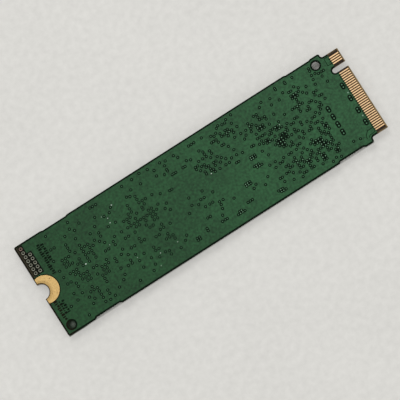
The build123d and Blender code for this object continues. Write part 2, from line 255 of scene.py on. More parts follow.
# Small dark dots of vias that the copper runs up to, as X and Y
SMALL_DOTS = (
    (-9.4, 6.4), (-8.7, 6.25), (-8.6, 5.6), (-18.2, 4.75), (-17.45, 4.75), (-6.4, 4.95), (-5.25, 9.6),
    (-17.35, -5.6), (-12.65, -5.6), (-14.95, -8.1), (-10.95, -6.4), (-2.75, -5.65), (-3.55, -3.5),
    (-33.55, -7.2), (-32.7, -5.55), (-24.75, -3.95), (-24.75, -4.8), (-32.0, -3.95), (-21.65, -3.8),
    (-30.3, 8.05), (-31.15, 7.25), (-30.35, 7.2), (-24.75, 3.9),
)

# Windows in the copper round each signal pair: X, and the Y of their middles
LANE_WINDOWS = ((31.48, (-0.08, -1.96, -3.86, -5.74)), (36.65, (2.5, -0.55, -3.55, -6.55)))

# Pale pads near the contacts' roots, as X and Y
ROOT_PADS = ((36.85, 0.7), (36.85, -5.05))

# Gaps between areas of copper near the contacts, as runs of points
COPPER_GAPS = (
    ((37.3, 9.45), (36.4, 9.4), (36.35, 7.75), (37.3, 7.7)),
    ((37.3, -8.3), (35.95, -8.3), (35.15, -9.05), (35.0, -9.7)),
    ((35.5, -9.7), (35.95, -9.35), (36.9, -9.3), (37.3, -9.1)),
)

# Columns of plain bars in the two mark fields: first and last X, first and last Y, and the first bar
MARK_COLUMNS = (
    (-35.95, -35.1, 1.85, 8.55, 0), (-35.0, -34.2, 4.6, 8.55, 2),
    (-39.0, -38.25, -7.8, -3.35, 1), (-38.03, -37.66, -6.7, -3.65, 3), (-37.5, -36.85, -6.7, -3.75, 0),
)

# Bars of the mark fields in turn: thickness, share that is cut off, and gap to the next one
BAR_THICKNESS = (0.26, 0.4, 0.3, 0.46)
BAR_CUTS = (0.0, 0.3, 0.12)
BAR_GAPS = (0.14, 0.2, 0.16)

# Pale flecks left on the mask, as X, Y and diameter
FLECKS = (
    (-17.75, 7.55, 0.3), (-19.9, 5.6, 0.24), (-20.0, 4.55, 0.26), (-28.9, -0.05, 0.36),
    (-14.45, -6.55, 0.24), (-10.15, -6.5, 0.22), (3.5, 1.8, 0.3), (-20.85, 6.55, 0.16),
    (-22.55, 0.65, 0.16), (-15.75, -8.9, 0.16), (21.1, 2.8, 0.18), (-19.05, -4.75, 0.16),
)

# Flattening of a fleck
FLECK_SHAPE = (1.0, 0.8, 0.15, 1.0)

PACKAGES = ("flash_package_1", "flash_package_2", "memory_package", "controller_package")
BALLS = (
    "flash_solder_balls_1", "flash_solder_balls_2", "memory_solder_balls", "controller_solder_balls")
CHIPS = (
    ("decoupling_capacitors", "decoupling_capacitor_terminals"),
    ("bulk_capacitors", "bulk_capacitor_terminals"),
    ("coupling_capacitors", "coupling_capacitor_terminals"),
    ("chip_resistors", "resistor_terminals"),
    ("input_fuse", "fuse_terminals"),
    ("power_inductors", "inductor_terminals"),
)


def length(name, description, millimetres):
    """A length that a user can change, kept in metres."""
    return bpy.props.FloatProperty(
        name=name, description=description, default=millimetres * MM, min=0.0, unit="LENGTH",
        precision=6)


def tint(name, description, value):
    """A colour that a user can change, as linear red, green and blue."""
    return bpy.props.FloatVectorProperty(
        name=name, description=description, default=value, size=3, min=0.0, max=1.0,
        subtype="COLOR")


class CardSizes(bpy.types.PropertyGroup):
    """Sizes of the details on the card's two faces."""

    via_ring: length("Via ring", "Diameter of the clear ring round a via", 0.7)
    via_pad: length("Via pad", "Diameter of the pad inside a via's clear ring", 0.26)
    ring_rise: length("Ring rise", "Height of the mask over a clear ring", 0.008)
    spot: length("Cleared spot", "Diameter of the spot without copper between crowded vias", 0.54)
    small_dot: length("Small dot", "Diameter of the dot on a via that the copper runs up to", 0.16)
    pad_rise: length("Pad rise", "Height of the mask over a pad", 0.016)
    sink: length("Sink", "Depth that low details reach into the board", 0.004)
    # The dark strip along the edges is mask without copper and also painted shade along the board's edge
    edge_clearance: length("Edge clearance", "Strip without copper along the board's edges", 0.34)
    pad_clearance: length("Pad clearance", "Strip without copper round the screw pad", 0.2)
    bore: length("Test point bore", "Diameter of the hole in a test point", 0.4)
    barrel_wall: length("Barrel wall", "Plating inside a test point's hole", 0.02)
    ground_margin: length("Ground margin", "Reach of the bare ground past the test points", 0.24)
    window_width: length("Window width", "Width of the window round a signal pair", 0.98)
    pair_gap: length("Pair gap", "Distance between the two vias of a signal pair", 0.62)
    lane_pad: length("Lane pad", "Diameter of the pads in the windows and at the contacts' roots", 0.36)
    # The dots between the contacts' roots are painted shade
    shaded_root_dot: length("Root dot", "Diameter of the clear dot between two contacts' roots", 0.36)
    gap_width: length("Gap width", "Width of a gap between two areas of copper", 0.13)
    edge_round: length("Edge rounding", "Rounding of moulded and plated edges", 0.03)
    fillet_run: length("Fillet run", "Longest reach of a solder fillet on the board", 0.22)


class CardColours(bpy.types.PropertyGroup):
    """Colours of the card's finishes."""

    # The mask's green lightens from the notch end to the contact end: the lighter green is painted sheen
    mask_notch_least_sheen: tint("Mask at the notch", "Solder mask at the notch end", (0.009, 0.050, 0.015))
    mask_contact_most_sheen: tint("Mask at the contacts", "Solder mask at the contact end", (0.020, 0.082, 0.031))
    mask_clear: tint("Clear mask", "Solder mask where no copper is under it", (0.001, 0.006, 0.002))
    mask_thin: tint("Thin mask", "Clear mask at the notch end", (0.007, 0.006, 0.0025))
    notch_strip: tint("Notch strip", "Strip between the notch and a screw pad", (0.05, 0.03, 0.01))
    pad: tint("Pads", "Solder mask on a via's pad", (0.055, 0.145, 0.072))
    lane_pad: tint("Lane pads", "Solder mask on the pads of the signal pairs", (0.075, 0.190, 0.100))
    root_pad: tint("Root pads", "Solder mask on the pale pads near the contacts", (0.180, 0.300, 0.215))
    crowded_pad: tint("Crowded pads", "Solder mask on the pads of crowded vias", (0.150, 0.310, 0.180))
    ground: tint("Bare ground", "Mask on bare laminate round the test points", (0.003, 0.0035, 0.002))
    ground_end: tint("Ground at the end", "Bare ground along the board's end", (0.032, 0.027, 0.015))
    laminate: tint("Laminate", "Bare laminate between the contacts", (0.016, 0.0065, 0.0015))
    # The cut edge's dark colour is partly the laminate's own colour and partly painted shade on the
    # board's wall
    laminate_edge_and_shade: tint("Laminate edge", "Cut edge of the board", (0.010, 0.014, 0.007))
    laminate_bevel: tint("Pale laminate", "End of the tongue, wall of the notch", (0.230, 0.160, 0.070))
    gold: tint("Pad gold", "Plating of the screw pads", (0.69, 0.47, 0.19))
    contact_gold: tint("Contact gold", "Plating of the contacts", (0.93, 0.65, 0.37))
    test_point: tint("Test points", "Plating of the test points", (0.155, 0.158, 0.12))
    stain: tint("Stain", "Stain on the first test point", (0.15, 0.10, 0.08))
    tin: tint("Tin", "Plated ends and leads", (0.60, 0.57, 0.54))
    solder: tint("Solder", "Solder balls and fillets", (0.55, 0.55, 0.57))
    moulding: tint("Moulding", "Moulding compound of the packages", (0.011, 0.011, 0.012))
    substrate: tint("Substrate", "Small board under a moulded package", (0.012, 0.035, 0.016))
    ceramic: tint("Ceramic", "Body of a capacitor", (0.33, 0.22, 0.12))
    dark_ceramic: tint("Dark ceramic", "Resistors, fuse and crystal tray", (0.018, 0.018, 0.02))
    white_ceramic: tint("White ceramic", "Ceramic under a dark glaze", (0.55, 0.54, 0.50))
    core: tint("Inductor core", "Pressed powder of an inductor", (0.045, 0.045, 0.048))
    lid: tint("Crystal lid", "Metal lid of the crystal", (0.55, 0.53, 0.50))
    fleck: tint("Fleck", "Pale flecks on the mask", (0.50, 0.58, 0.52))


class StageSettings(bpy.types.PropertyGroup):
    """Table, light and camera."""

    floor: tint("Table", "Colour of the table", (0.705, 0.695, 0.665))
    shade: tint("Table shade", "Colour of the table under the notch end", (0.035, 0.06, 0.035))
    deep_shade: tint("Deep shade", "Colour of the table under the test points", (0.01, 0.01, 0.01))
    lit: tint("Lit spot", "Colour of the table where light falls through a hole", (0.38, 0.45, 0.38))
    sky: tint("Sky", "Even light from all round", (0.74, 0.74, 0.73))
    glow: bpy.props.FloatProperty(
        name="Table glow", description="Share of the table's brightness that no shadow reaches",
        default=0.5, min=0.0, max=1.0, subtype="FACTOR")
    lamp_power: bpy.props.FloatProperty(
        name="Lamp power", description="Power of the soft lamp", default=3.6, min=0.0, unit="POWER")
    lens: bpy.props.FloatProperty(
        name="Lens", description="Focal length of the camera", default=343.0, unit="CAMERA")
    distance: length("Distance", "From the camera to the card", 800.0)
    tilt: bpy.props.FloatProperty(
        name="Tilt", description="Lean of the camera towards the plain edge",
        default=math.radians(6.0), subtype="ANGLE")
    roll: bpy.props.FloatProperty(
        name="Roll", description="Turn of the card in the picture", default=math.radians(32.54),
        subtype="ANGLE")
    aim: bpy.props.FloatVectorProperty(
        name="Aim", description="Point of the back face in the middle of the picture", size=3,
        default=(-1.485 * MM, -1.62 * MM, BACK), subtype="XYZ", unit="LENGTH")


def node(tree, kind, inputs=None, **settings):
    """A node with its settings, and its inputs set or linked."""
    made = tree.nodes.new(kind)
    for name, value in settings.items():
        setattr(made, name, value)
    for key, value in (inputs or {}).items():
        if isinstance(value, bpy.types.NodeSocket):
            tree.links.new(value, made.inputs[key])
        else:
            made.inputs[key].default_value = value
    return made


def maths(tree, operation, *values, **settings):
    """The result of a sum on numbers and sockets."""
    inputs = dict(enumerate(values))
    return node(tree, "ShaderNodeMath", inputs, operation=operation, **settings).outputs[0]


def noise(tree, place, scale, detail):
    """Cloudy values round 0.5."""
    inputs = {"Vector": place, "Scale": scale, "Detail": detail}
    return node(tree, "ShaderNodeTexNoise", inputs).outputs[0]


def between(tree, value, low, high):
    """A mask that goes from 0 to 1 as a value goes from low to high."""
    inputs = {"Value": value, "From Min": low, "From Max": high}
    return node(tree, "ShaderNodeMapRange", inputs).outputs["Result"]


def blend(tree, share, first, second):
    """A mix of two colours, each a socket or red, green and blue."""
    inputs = {0: share}
    for key, colour in ((6, first), (7, second)):
        inputs[key] = colour if isinstance(colour, bpy.types.NodeSocket) else (*colour, 1.0)
    return node(tree, "ShaderNodeMix", inputs, data_type="RGBA").outputs[2]


def parted(tree, place):
    """X, Y and Z of the place on the object."""
    return node(tree, "ShaderNodeSeparateXYZ", {0: place}).outputs


def from_point(tree, place, point):
    """The distance from a point."""
    inputs = {0: place, 1: point}
    return node(tree, "ShaderNodeVectorMath", inputs, operation="DISTANCE").outputs["Value"]


def graded(axis, low, high, first, second):
    """A pattern that goes from one colour to another between two places on axis 0, 1 or 2."""

    def pattern(tree, place):
        return blend(tree, between(tree, parted(tree, place)[axis], low, high), first, second)

    return pattern


def grain_group():
    """Grain of a finish: uneven tone at two sizes, and the height of its fine relief."""
    if "Grain" in bpy.data.node_groups:
        return bpy.data.node_groups["Grain"]
    tree = bpy.data.node_groups.new("Grain", "ShaderNodeTree")
    sockets = {
        "INPUT": (("Colour", "Color"), ("Place", "Vector"), ("Scale", "Float"), ("Uneven", "Float")),
        "OUTPUT": (("Colour", "Color"), ("Height", "Float")),
    }
    for way, labels in sockets.items():
        for label, kind in labels:
            tree.interface.new_socket(label, in_out=way, socket_type=f"NodeSocket{kind}")
    colour, place, scale, uneven = tree.nodes.new("NodeGroupInput").outputs[:4]
    fine = noise(tree, place, scale, 3.0)
    broad = noise(tree, place, maths(tree, "MULTIPLY", scale, 0.06), 2.0)
    both = maths(tree, "MULTIPLY_ADD", broad, 0.4, fine)
    centred = maths(tree, "SUBTRACT", both, 0.7)
    shift = maths(tree, "MULTIPLY_ADD", centred, uneven, 1.0)
    toned = node(
        tree, "ShaderNodeVectorMath", {0: colour, "Scale": shift}, operation="SCALE").outputs[0]
    node(tree, "NodeGroupOutput", {"Colour": toned, "Height": fine})
    return tree


def finish(name, colour, scale, uneven, roughness, relief=0.0, pattern=None, dull=None, **constants):
    """A material whose tone, roughness and relief come from one grain.

    Roughness is its lowest and highest value and relief the depth of the grain in metres. From the
    tree and the place on the object, a pattern gives the colour, and dull a mask of what has no gloss.
    """
    if name in bpy.data.materials:
        return bpy.data.materials[name]
    made = bpy.data.materials.new(name)
    made.use_nodes = True
    made.diffuse_color = (*colour, 1.0)
    tree = made.node_tree
    shader = tree.nodes["Principled BSDF"]
    for key, value in constants.items():
        shader.inputs[key.replace("_", " ")].default_value = value
    place = node(tree, "ShaderNodeTexCoord").outputs["Object"]
    base = pattern(tree, place) if pattern else (*colour, 1.0)
    inputs = {"Colour": base, "Place": place, "Scale": scale, "Uneven": uneven}
    grain = node(tree, "ShaderNodeGroup", inputs, node_tree=grain_group()).outputs
    tree.links.new(grain["Colour"], shader.inputs["Base Color"])
    rough = node(tree, "ShaderNodeMapRange", {
        "Value": grain["Height"], "From Min": 0.3, "From Max": 0.7,
        "To Min": roughness[0], "To Max": roughness[1]}).outputs["Result"]
    if dull:
        rough = maths(tree, "MAXIMUM", rough, dull(tree, place))
    tree.links.new(rough, shader.inputs["Roughness"])
    if relief:
        bump = node(tree, "ShaderNodeBump", {
            "Height": grain["Height"], "Strength": 0.6, "Distance": relief})
        tree.links.new(bump.outputs["Normal"], shader.inputs["Normal"])
    return made


def plain_finish(colours, name):
    """One of the finishes that are the same all over."""
    colour, scale, uneven, roughness, relief, metal = PLAIN_FINISHES[name]
    return finish(name, getattr(colours, colour), scale, uneven, roughness, relief, Metallic=metal)


def cut_edges(tree, place):
    """A mask of the board's cut edges, which leaves out its two faces."""
    depth = maths(tree, "ABSOLUTE", maths(tree, "SUBTRACT", parted(tree, place)[2], NOTCH.z))
    return between(tree, depth, *CUT_EDGE)


def mask_finish(colours):
    """Green solder mask on both faces, lighter towards the contacts as painted sheen, and bare laminate
    between the contacts and on the cut edges.
    """

    def pattern(tree, place):
        x, y, _ = parted(tree, place)
        # Painted sheen: the mask's green lightens along the card towards the contacts
        sheen_share = between(tree, x, NOTCH_END, CONTACT_END)
        mask = blend(tree, sheen_share, colours.mask_notch_least_sheen, colours.mask_contact_most_sheen)
        across = maths(tree, "ABSOLUTE", y)
        outer = between(tree, across, *TONGUE_SIDE)
        bare = blend(tree, outer, colours.laminate, colours.laminate_bevel)
        past = between(tree, x, *MASK_END)
        face = blend(tree, past, mask, bare)
        plies = node(tree, "ShaderNodeTexWave", {
            "Vector": place, "Scale": 1300.0, "Distortion": 1.5, "Detail": 2.0},
            bands_direction="Z").outputs["Fac"]
        # The cut edge's dark laminate is partly its own colour and partly painted shade on the wall
        wall = blend(tree, plies, colours.laminate_edge_and_shade, colours.laminate)
        notch = between(tree, from_point(tree, place, NOTCH), *NOTCH_WALL)
        edge = blend(tree, maths(tree, "MAXIMUM", past, notch), wall, colours.laminate_bevel)
        return blend(tree, cut_edges(tree, place), face, edge)

    return finish(
        "Solder mask", colours.mask_contact_most_sheen, 1900.0, 1.8, (0.36, 0.5), 1.5e-6, pattern, cut_edges,
        Specular_IOR_Level=0.2)


def clear_finish(colours):
    """Mask straight on the laminate, brown where it is thin at the notch end and along the notch."""
    inward = graded(0, *THIN_MASK, colours.mask_thin, colours.mask_clear)

    def pattern(tree, place):
        notch = between(tree, from_point(tree, place, NOTCH), *NOTCH_STRIP)
        return blend(tree, notch, inward(tree, place), colours.notch_strip)

    return finish(
        "Mask without copper", colours.mask_clear, 3000.0, 0.4, (0.4, 0.55), 1e-6, pattern,
        Specular_IOR_Level=0.05)


def ground_finish(colours):
    """Mask on bare laminate round the test points, browner towards the board's end."""
    pattern = graded(0, *END_GROUND, colours.ground_end, colours.ground)
    return finish(
        "Bare ground", colours.ground, 2500.0, 0.6, (0.4, 0.55), 1e-6, pattern,
        Specular_IOR_Level=0.08)


def pad_finish(name, pad):
    """Mask over the pads of the vias."""
    return finish(name, pad, 5000.0, 0.5, (0.3, 0.45), Specular_IOR_Level=0.2)


def gold_finish(name, gold, row=None):
    """Gold plating with rub marks and a few pin holes.

    A row of contacts gets painted shade on its flanks: it is the Y of one contact's middle, the pitch
    and the width of a contact. Plating without a row is worn along the notch and darkened there as
    painted shade.
    """

    def dimmed(shares):
        return [part * share for part, share in zip(gold, shares)]

    def flank_shade_mask(tree, place):
        middle, pitch, width = row
        turns = maths(
            tree, "MULTIPLY_ADD", parted(tree, place)[1], 1.0 / pitch, 0.5 - middle / pitch)
        off = maths(tree, "ABSOLUTE", maths(tree, "SUBTRACT", maths(tree, "FRACT", turns), 0.5))
        edge = width / pitch / 2
        return between(tree, off, *(edge * share for share in FLANK_SHADE))

    # Rim along the notch: partly worn plating, partly painted shade
    def rim_wear_and_shade(tree, place):
        uneven = noise(tree, place, 1500.0, 2.0)
        reach = maths(tree, "MULTIPLY_ADD", uneven, WEAR_SPREAD, from_point(tree, place, NOTCH))
        return between(tree, reach, *NOTCH_WEAR_AND_SHADE)

    def pattern(tree, place):
        clean = between(tree, noise(tree, place, 2300.0, 1.0), 0.26, 0.31)
        stretched = node(tree, "ShaderNodeMapping", {"Vector": place, "Scale": (0.12, 1.0, 1.0)})
        rub = between(tree, noise(tree, stretched.outputs[0], 9000.0, 2.0), 0.35, 0.7)
        rubbed = blend(tree, rub, gold, dimmed(RUBBED_GOLD))
        plated = blend(tree, clean, dimmed(PITTED_GOLD), rubbed)
        if row:
            # Painted shade on the flanks of each contact
            return blend(tree, flank_shade_mask(tree, place), plated, dimmed(FLANK_SHADE_GOLD))
        return blend(tree, rim_wear_and_shade(tree, place), plated, dimmed(WORN_AND_SHADED_GOLD))

    return finish(name, gold, 3500.0, 0.14, (0.24, 0.42), 1e-6, pattern, Metallic=1.0)


def test_point_finish(colours):
    """Tin on the test points, with a reddish stain on the first one."""
    pattern = graded(1, *STAIN_EDGE, colours.test_point, colours.stain)
    return finish(
        "Test point plating", colours.test_point, 9000.0, 0.4, (0.36, 0.52), 1e-6, pattern,
        Metallic=0.6)


def moulding_finish(name, colours, substrate_low):
    """Black moulding with a fine grain, on a green substrate above the height that is given."""
    pattern = graded(2, substrate_low - SEAM, substrate_low, colours.moulding, colours.substrate)
    return finish(
        name, colours.moulding, 6500.0, 0.5, (0.5, 0.68), 4e-6, pattern, Specular_IOR_Level=0.35)


def glazed_finish(name, colours, glaze_high):
    """White ceramic under a dark glaze, which covers it up to the height that is given."""
    pattern = graded(
        2, glaze_high, glaze_high + GLAZE_EDGE, colours.dark_ceramic, colours.white_ceramic)
    return finish(name, colours.dark_ceramic, 8000.0, 0.3, (0.3, 0.45), 1e-6, pattern)


def beside_card(tree, place):
    """A mask of the table beside the card and in its notch, which leaves out what lies under it."""
    x, y, _ = parted(tree, place)
    beside = between(tree, x, NOTCH_END + SHADE_EDGE, NOTCH_END - SHADE_EDGE)
    for value, low, high in (
        (x, SHOULDER - SHADE_EDGE, SHOULDER + SHADE_EDGE),
        (maths(tree, "ABSOLUTE", y), BOARD_HIGH.y - SHADE_EDGE, BOARD_HIGH.y + SHADE_EDGE),
        (from_point(tree, place, (NOTCH_END, 0.0, 0.0)), *NOTCH_TABLE),
    ):
        beside = maths(tree, "MAXIMUM", beside, between(tree, value, low, high))
    return beside


def table_finish(stage):
    """Pale table top with faint blotches, which glows beside the card so that shadows stay faint.

    It is in shade under the notch end, apart from the spot that light reaches through the hole there.
    """

    def pattern(tree, place):
        x, y, _ = parted(tree, place)
        end = between(tree, x, *END_SHADE)
        under = maths(tree, "SUBTRACT", end, beside_card(tree, place), use_clamp=True)
        lit = between(tree, from_point(tree, place, LIT_SPOT), LIT_REACH, 0.0)
        dim = blend(tree, lit, stage.shade, stage.lit)
        deep = blend(tree, between(tree, y, *DEEP_SIDE), dim, stage.deep_shade)
        return blend(tree, under, stage.floor, deep)

    made = finish(
        "Table top", stage.floor, 700.0, 0.2, (0.55, 0.7), pattern=pattern, Specular_IOR_Level=0.2)
    tree = made.node_tree
    shader = tree.nodes["Principled BSDF"]
    toned = shader.inputs["Base Color"].links[0].from_socket
    glow = node(tree, "ShaderNodeEmission", {"Color": toned}).outputs[0]
    ray = node(tree, "ShaderNodeLightPath").outputs
    seen = maths(tree, "MAXIMUM", ray["Is Camera Ray"], ray["Is Glossy Ray"])
    seen = maths(tree, "MAXIMUM", seen, ray["Is Transmission Ray"])
    beside = beside_card(tree, node(tree, "ShaderNodeTexCoord").outputs["Object"])
    share = maths(tree, "MULTIPLY", maths(tree, "MULTIPLY", seen, beside), stage.glow)
    both = node(tree, "ShaderNodeMixShader", {0: share, 1: shader.outputs[0], 2: glow}).outputs[0]
    tree.links.new(both, tree.nodes["Material Output"].inputs["Surface"])
    return made


def mesh_of(name, shape):
    """A mesh from a bmesh, which is used up."""
    mesh = bpy.data.meshes.new(name)
    shape.to_mesh(mesh)
    shape.free()
    return mesh


def placed(name, data):
    """An object with the given data, in the scene."""
    made = bpy.data.objects.new(name, data)
    bpy.context.scene.collection.objects.link(made)
    return made


def piece(name, shape, material, smooth=True):
    """A finished piece from a bmesh, which rides on the card."""
    mesh = mesh_of(name, shape)
    mesh.materials.append(material)
    if smooth:
        mesh.shade_smooth()
        mesh.set_sharp_from_angle(angle=SHARP_ANGLE)
    made = placed(name, mesh)
    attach(made, BODY)
    return made


def trim(name, shape, material, smooth=False):
    """A piece of the board's mask, with flat shading unless smooth is true."""
    return piece(name, shape, material, smooth)


def dress(name, material, rounding=0.0):
    """Gives a CAD node its material, and rounds its edges."""
    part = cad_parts[name]
    part.data.materials.clear()
    part.data.materials.append(material)
    if rounding:
        weld = part.modifiers.new("Weld", "WELD")
        weld.merge_threshold = MERGE
        bevel = part.modifiers.new("Bevel", "BEVEL")
        bevel.width = rounding
        bevel.segments = 2
        bevel.limit_method = "ANGLE"
        bevel.angle_limit = BEVEL_ANGLE
        bevel.use_clamp_overlap = True


def cad_copy(name):
    """A merged copy of a CAD node's mesh."""
    shape = bmesh.new()
    shape.from_mesh(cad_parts[name].data)
    bmesh.ops.remove_doubles(shape, verts=shape.verts[:], dist=MERGE)
    return shape


def solids_of(name):
    """Lowest and highest corner of each separate solid of a CAD node."""
    shape = cad_copy(name)
    boxes = []
    for first in shape.verts:
        if first.tag:
            continue
        first.tag = True
        found, grow = [], [first]
        while grow:
            vert = grow.pop()
            found.append(vert.co.copy())
            for edge in vert.link_edges:
                other = edge.other_vert(vert)
                if not other.tag:
                    other.tag = True
                    grow.append(other)
        low = Vector(min(p[i] for p in found) for i in range(3))
        high = Vector(max(p[i] for p in found) for i in range(3))
        boxes.append((low, high))
    shape.free()
    return boxes


def repeat(shape, matrices):
    """One bmesh with a copy of a shape at each matrix."""
    seed = mesh_of("seed", shape)
    whole = bmesh.new()
    for matrix in matrices:
        copy = seed.copy()
        copy.transform(matrix)
        whole.from_mesh(copy)
        bpy.data.meshes.remove(copy)
    bpy.data.meshes.remove(seed)
    bmesh.ops.recalc_face_normals(whole, faces=whole.faces[:])
    return whole


def spun(points, steps):
    """A closed solid of revolution about Z, from points of radius and height."""
    shape = bmesh.new()
    verts = [shape.verts.new((radius, 0.0, height)) for radius, height in points]
    edges = [shape.edges.new(pair) for pair in zip(verts, verts[1:] + verts[:1])]
    bmesh.ops.spin(
        shape, geom=verts + edges, cent=(0, 0, 0), axis=(0, 0, 1), angle=2 * math.pi, steps=steps,
        use_merge=True)
    bmesh.ops.remove_doubles(shape, verts=shape.verts[:], dist=FINE_MERGE)
    bmesh.ops.recalc_face_normals(shape, faces=shape.faces[:])
    return shape


def disc(diameter, low, high, sides=DISC_SIDES, top=DISC_TOP):
    """A low disc with a sloped rim, whose top is the given share of its diameter."""
    shape = bmesh.new()
    bmesh.ops.create_cone(
        shape, cap_ends=True, segments=sides, radius1=diameter / 2, radius2=diameter * top / 2,
        depth=high - low, matrix=Matrix.Translation((0, 0, (low + high) / 2)))
    return shape


def bar(shape, start, end, width, low, high):
    """Adds a straight bar between two points of a face, given in millimetres."""
    start, end = Vector((*start, 0)) * MM, Vector((*end, 0)) * MM
    run = end - start
    middle = (start + end) / 2
    size = Matrix.Diagonal((run.length + width, width, high - low, 1.0))
    turn = Matrix.Rotation(math.atan2(run.y, run.x), 4, "Z")
    place = Matrix.Translation((middle.x, middle.y, (low + high) / 2))
    bmesh.ops.create_cube(shape, size=1.0, matrix=place @ turn @ size)


def extruded(shape, way):
    """Gives the flat faces of a bmesh a thickness, and closes them into a solid."""
    grown = bmesh.ops.extrude_face_region(shape, geom=shape.faces[:])["geom"]
    verts = [v for v in grown if isinstance(v, bmesh.types.BMVert)]
    bmesh.ops.translate(shape, verts=verts, vec=way)
    bmesh.ops.recalc_face_normals(shape, faces=shape.faces[:])
    return shape


def rim(shape, width):
    """Keeps only a rim of the given width along the edges of a bmesh's flat faces."""
    kept = set(bmesh.ops.inset_region(
        shape, faces=shape.faces[:], thickness=width, use_boundary=True,
        use_even_offset=True)["faces"])
    bmesh.ops.delete(shape, geom=[f for f in shape.faces if f not in kept], context="FACES")
    return shape


def cut(shape, place, away, drop=True):
    """Cuts a bmesh at a plane, and takes off what lies past it unless drop is false."""
    bmesh.ops.bisect_plane(
        shape, geom=shape.verts[:] + shape.edges[:] + shape.faces[:], dist=FINE_MERGE,
        plane_co=place, plane_no=away, clear_outer=drop)
    return shape


def board_face(z):
    """A copy of the board's flat face at a height, with its holes."""
    shape = cad_copy("circuit_board")
    others = [f for f in shape.faces if abs(f.calc_center_median().z - z) > MERGE]
    bmesh.ops.delete(shape, geom=others, context="FACES")
    return shape


def on_back(x, y):
    """Places a detail that is drawn on Z 0 onto the back face, from millimetres."""
    return Matrix.Translation((x * MM, y * MM, BACK))


def on_front(x, y):
    """Places a detail that is drawn on Z 0 onto the component face, turned over."""
    return Matrix.Translation((x * MM, y * MM, FRONT)) @ Matrix.Diagonal((1, 1, -1, 1))


def laid(shape, places, put=on_back):
    """One bmesh with a copy of a shape at each X and Y of a face."""
    return repeat(shape, [put(x, y) for x, y in places])


def via_places():
    """X and Y of every via, in millimetres."""
    for (x, y), pitch, rows in FIELDS:
        for row, columns in rows.items():
            for column in columns:
                yield x + column * pitch, y + row * pitch
    for y, row in LOOSE_VIAS:
        for x in row:
            yield x, y


def crowded_vias(places, ring):
    """The vias whose clear ring meets those of three others or more."""
    for place in places:
        met = sum(math.dist(place, other) * MM < ring for other in places if other != place)
        if met >= CROWD:
            yield place


def crowded_places(ring):
    """X and Y of the spots that lose their copper between vias whose clear rings meet."""
    corners = ((0, 0), (1, 0), (0, 1), (1, 1))
    for (x, y), pitch, rows in FIELDS:
        if pitch * MM > ring:
            continue
        cleared = {(column, row) for row, columns in rows.items() for column in columns}
        cleared.update(SHUT_IN)
        middles = [
            (c + 0.5, r + 0.5) for c, r in cleared
            if all((c + a, r + b) in cleared for a, b in corners)]
        for column, row in sorted(middles + list(SHUT_IN)):
            yield x + column * pitch, y + row * pitch


def open_places(places, margin):
    """The places that no part covers on the component face."""
    covers = [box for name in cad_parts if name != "circuit_board" for box in solids_of(name)]
    covers = [(low, high) for low, high in covers if low.z < FRONT - COVER_DEPTH]
    for x, y in places:
        point = Vector((x * MM, y * MM))
        if not any(
            low.x - margin < point.x < high.x + margin and low.y - margin < point.y < high.y + margin
            for low, high in covers
        ):
            yield x, y


def values_of(context):
    """The card's sizes and colours."""
    return context.scene.card_sizes, context.scene.card_colours


class CARD_OT_board(bpy.types.Operator):
    """Dress the board in solder mask and laminate"""

    bl_idname = "card.board"
    bl_label = "Board"

    def execute(self, context):
        dress("circuit_board", mask_finish(context.scene.card_colours))
        return {"FINISHED"}


class CARD_OT_edge_clearance(bpy.types.Operator):
    """Lay the dark strips without copper along the board's edges, its holes and the screw pads, which
    along the edges are also painted shade
    """

    bl_idname = "card.edge_clearance"
    bl_label = "Edge clearance"

    def execute(self, context):
        sizes, colours = values_of(context)
        clear = clear_finish(colours)
        for side, z, rise in (("back", BACK, sizes.ring_rise), ("front", FRONT, -sizes.ring_rise)):
            # Along the edges the dark strip is partly mask without copper and partly painted shade
            strip = cut(rim(board_face(z), sizes.edge_clearance), (CONTACT_ROOT, 0, 0), (1, 0, 0))
            trim(f"edge_clearance_{side}", extruded(strip, (0, 0, rise)), clear)

            low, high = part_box(f"screw_pad_{side}")
            radius = (high.y - low.y) / 2
            shape = bmesh.new()
            bmesh.ops.create_circle(
                shape, cap_ends=True, segments=PAD_SIDES, radius=radius + sizes.pad_clearance,
                matrix=Matrix.Translation((high.x - radius, 0, z)))
            end = (NOTCH_END + sizes.edge_clearance, 0, 0)
            strip = cut(rim(shape, sizes.pad_clearance), end, (-1, 0, 0))
            trim(f"pad_clearance_{side}", extruded(strip, (0, 0, rise)), clear)
        return {"FINISHED"}


class CARD_OT_vias(bpy.types.Operator):
    """Lay every via's clear ring and pad on the back, and on the front where nothing covers it"""

    bl_idname = "card.vias"
    bl_label = "Vias"

    def execute(self, context):
        sizes, colours = values_of(context)
        clear = clear_finish(colours)
        outer, hole = sizes.via_ring / 2, sizes.via_pad / 2 * RING_HOLE
        step = sizes.ring_rise * RING_STEP
        section = (
            (outer, -sizes.sink), (outer * RING_TOP, sizes.ring_rise),
            (hole, sizes.ring_rise), (hole, -sizes.sink))
        back = list(via_places())
        front = list(open_places(back, outer))
        for side, places, put in (("back", back, on_back), ("front", front, on_front)):
            spots = [
                put(x, y) @ Matrix.Translation((0, 0, (count % RING_LEVELS) * step))
                for count, (x, y) in enumerate(places)]
            trim(f"via_rings_{side}", repeat(spun(section, RING_SIDES), spots), clear, smooth=True)
            crowd = set(crowded_vias(places, sizes.via_ring))
            single = [place for place in places if place not in crowd]
            crowded = [place for place in places if place in crowd]
            for label, chosen, tone in (
                ("via_pads", single, colours.pad), ("crowded_pads", crowded, colours.crowded_pad),
            ):
                if chosen:
                    pads = laid(disc(sizes.via_pad, -sizes.sink, sizes.pad_rise), chosen, put)
                    trim(f"{label}_{side}", pads, pad_finish(f"Mask on {label}", tone))
        rise = sizes.ring_rise * SPOT_RISE
        spots = laid(disc(sizes.spot, -sizes.sink, rise), crowded_places(sizes.via_ring))
        trim("cleared_spots", spots, clear)
        dots = laid(disc(sizes.small_dot, -sizes.sink, rise, SMALL_DOT_SIDES), SMALL_DOTS)
        trim("small_dots", dots, clear)
        return {"FINISHED"}


